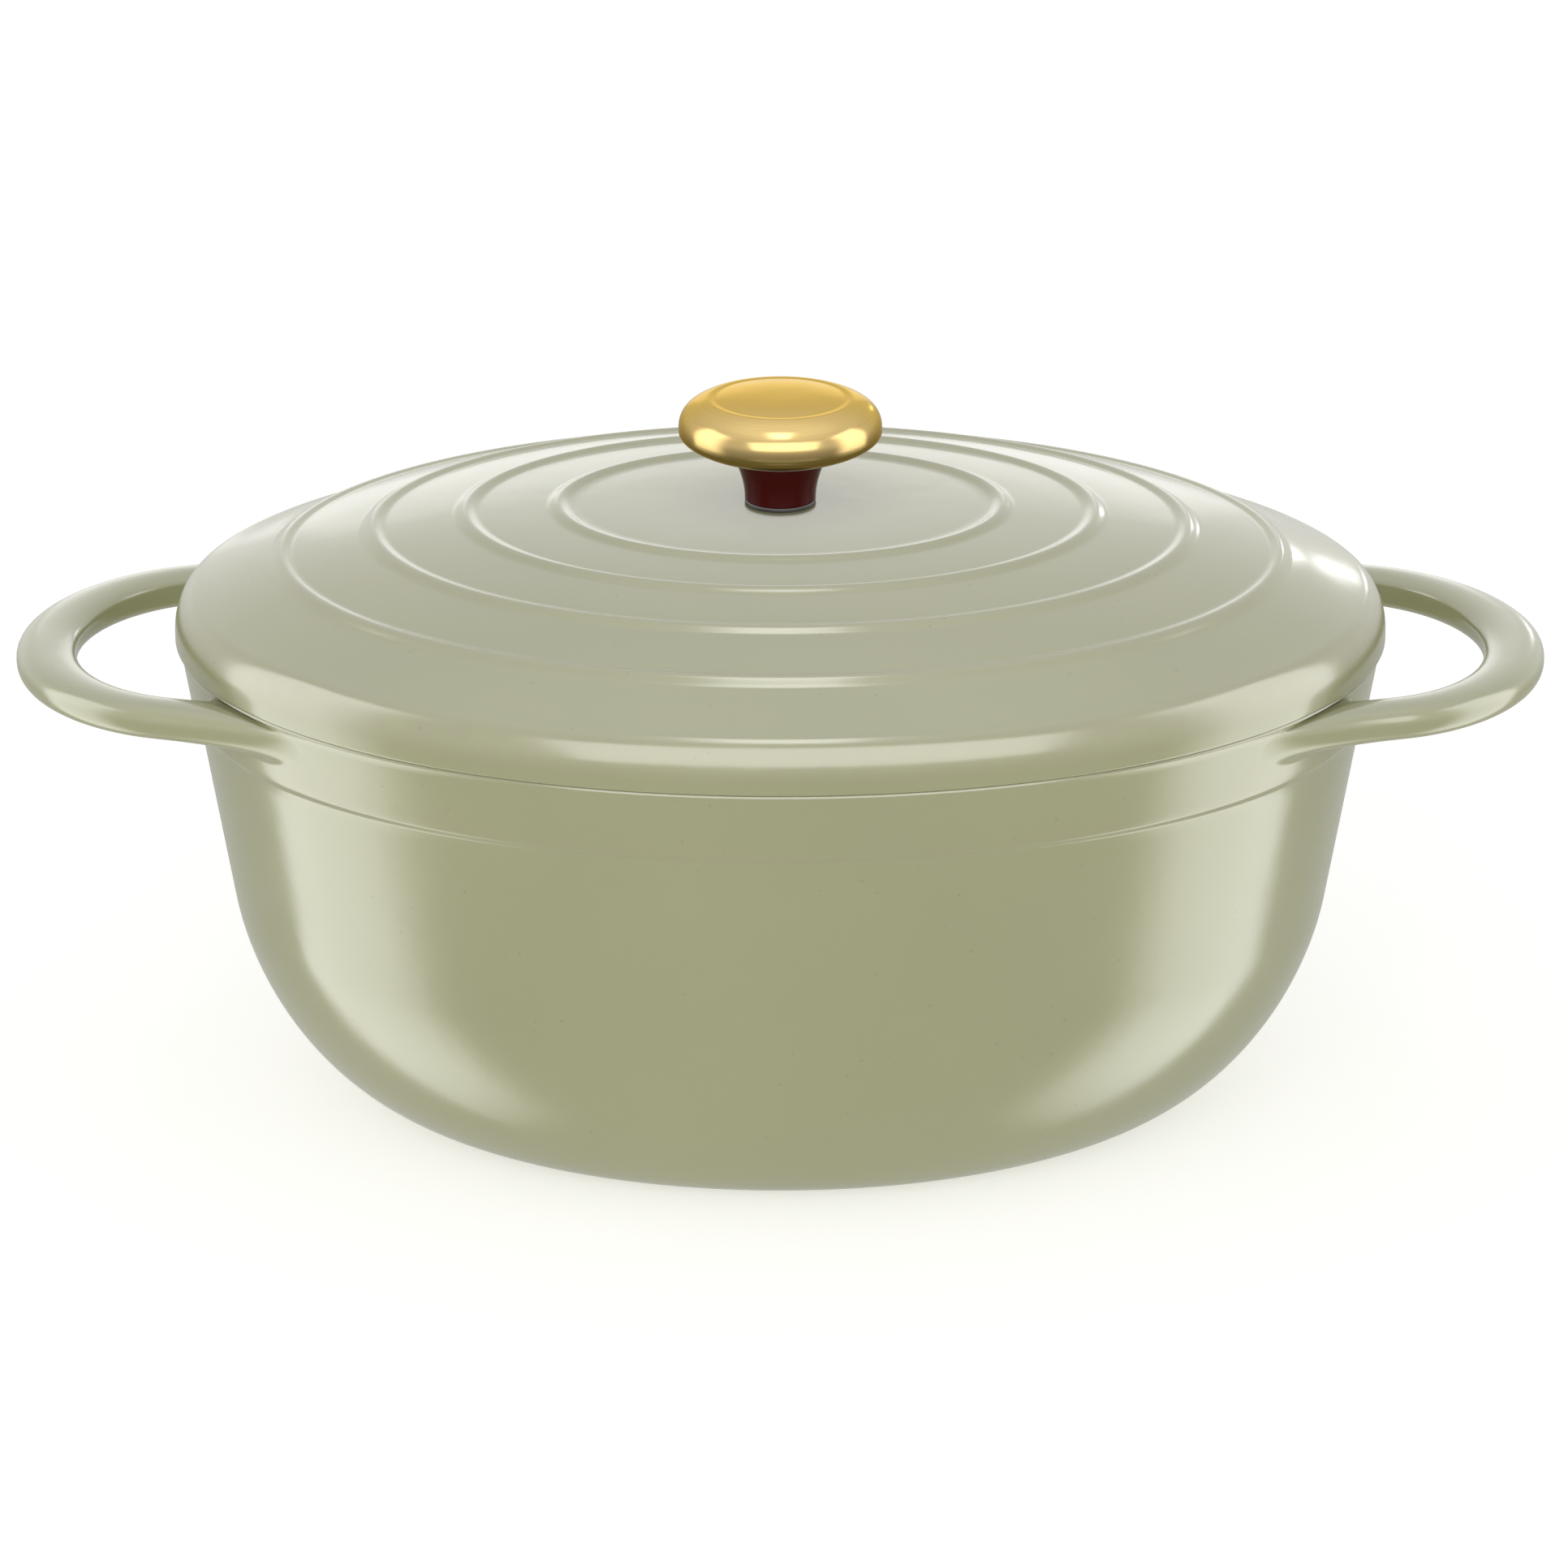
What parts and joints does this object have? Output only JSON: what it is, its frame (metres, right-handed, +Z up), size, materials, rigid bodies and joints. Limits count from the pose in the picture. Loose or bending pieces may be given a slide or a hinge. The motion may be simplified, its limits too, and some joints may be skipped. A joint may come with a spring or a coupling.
{
  "type": "oval casserole pot",
  "caption": "Oval cast-iron casserole with a loop handle at each end, a domed ridged lid that lifts off, and a mushroom-shaped metal knob screwed to the lid.",
  "frame": {"origin": "centre of the pot's flat base, on the surface it stands on", "axes": "+X along the pot's length, from one handle to the other; +Y from front to back; +Z up"},
  "size_m": [0.354, 0.22, 0.1688],
  "materials": {
    "pot_enamel": "glossy sage-green enamel on cast iron",
    "knob_gold": "polished gold-coloured sheet metal",
    "knob_neck": "dark moulded heat-proof plastic",
    "insert_brass": "plain turned brass",
    "gasket_rubber": "black heat-proof rubber",
    "screw_steel": "bare stainless steel"
  },
  "bodies": {
    "pot": {"pot_body": "pot_enamel"},
    "lid": {"lid": "pot_enamel", "knob_cap": "knob_gold", "knob_core": "knob_neck", "knob_insert": "insert_brass", "knob_gasket": "gasket_rubber", "knob_washer": "screw_steel", "knob_screw": "screw_steel"}
  },
  "joints": [
    {"name": "lid_lift", "type": "slide", "parent": "pot", "child": "lid", "axis": [0, 0, 1], "range_m": [0, 0.15]}
  ]
}
